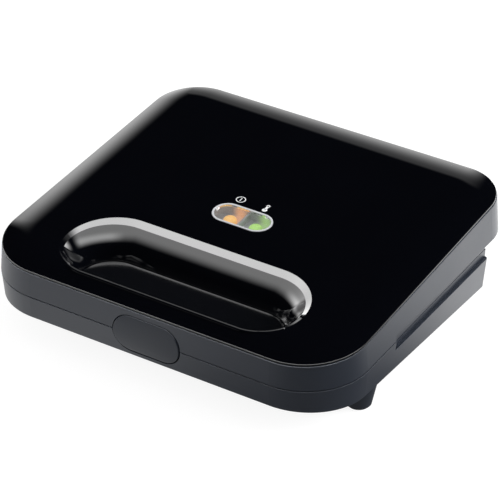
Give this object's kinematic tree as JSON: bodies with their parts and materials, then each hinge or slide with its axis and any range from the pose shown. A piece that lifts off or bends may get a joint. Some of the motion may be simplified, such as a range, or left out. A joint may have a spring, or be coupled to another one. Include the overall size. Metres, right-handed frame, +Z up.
{
  "type": "panini press",
  "caption": "Compact closed sandwich press: gloss lid with a finger recess and indicator window, front latch across the parting line, ribbed plates inside, wedge base on tapered feet.",
  "frame": {"origin": "on the table under the middle of the closed press, at the lower end of the foot pads", "axes": "+X to the right from the front, -Y towards the front with the latch, +Z up"},
  "size_m": [0.236, 0.2184, 0.063],
  "materials": {
    "matte_black": "fine matt moulded plastic",
    "gloss_black": "mirror gloss plastic",
    "satin_black": "satin plastic",
    "latch_black": "satin moulded plastic",
    "plate_coating": "non-stick coating on die-cast aluminium",
    "reflector_sheet": "bright rolled sheet",
    "steel": "plain bright steel",
    "element_steel": "oxidised heating tube",
    "bright_trim": "bright plated plastic",
    "clear_lens": "clear polished plastic",
    "amber_lens": "translucent amber",
    "green_lens": "translucent green",
    "tray_white": "pale moulded plastic",
    "board": "circuit board",
    "rubber": "matt rubber",
    "ceramic": "cream terminal plastic"
  },
  "bodies": {
    "base": {"base_housing": "matte_black", "bottom_cover": "matte_black", "cover_screws": "steel", "lower_plate": "plate_coating", "lower_element": "element_steel", "lower_reflector": "reflector_sheet", "lower_plate_screws": "steel", "thermostat": "steel", "terminal_block": "ceramic", "cord_gland": "satin_black", "hinge_pin_left": "steel", "hinge_pin_right": "steel", "front_foot_left": "matte_black", "front_foot_pad_left": "rubber", "front_foot_right": "matte_black", "front_foot_pad_right": "rubber", "rear_foot_left": "matte_black", "rear_foot_pad_left": "rubber", "rear_foot_right": "matte_black", "rear_foot_pad_right": "rubber"},
    "lid": {"lid_housing": "matte_black", "lid_top_panel": "gloss_black", "handle_well": "satin_black", "panel_screws": "steel", "lens_bezel": "bright_trim", "lens_window": "clear_lens", "lamp_tray": "tray_white", "amber_light_guide": "amber_lens", "green_light_guide": "green_lens", "lamp_board": "board", "upper_plate": "plate_coating", "upper_element": "element_steel", "upper_reflector": "reflector_sheet", "upper_plate_screws": "steel", "thermal_fuse": "ceramic", "latch_pin": "steel"},
    "latch": {"latch_rocker": "latch_black", "latch_spring": "steel"}
  },
  "joints": [
    {"name": "lid_hinge", "type": "hinge", "parent": "base", "child": "lid", "pos_m": [0, 0.09, 0.033], "axis": [-1, 0, 0], "range_deg": [0, 100]},
    {"name": "latch_pivot", "type": "hinge", "parent": "lid", "child": "latch", "pos_m": [0, -0.1026, 0.0375], "axis": [-1, 0, 0], "range_deg": [0, 5.5], "stiffness_Nm_per_rad": 0.4, "springref_deg": -4.58}
  ]
}
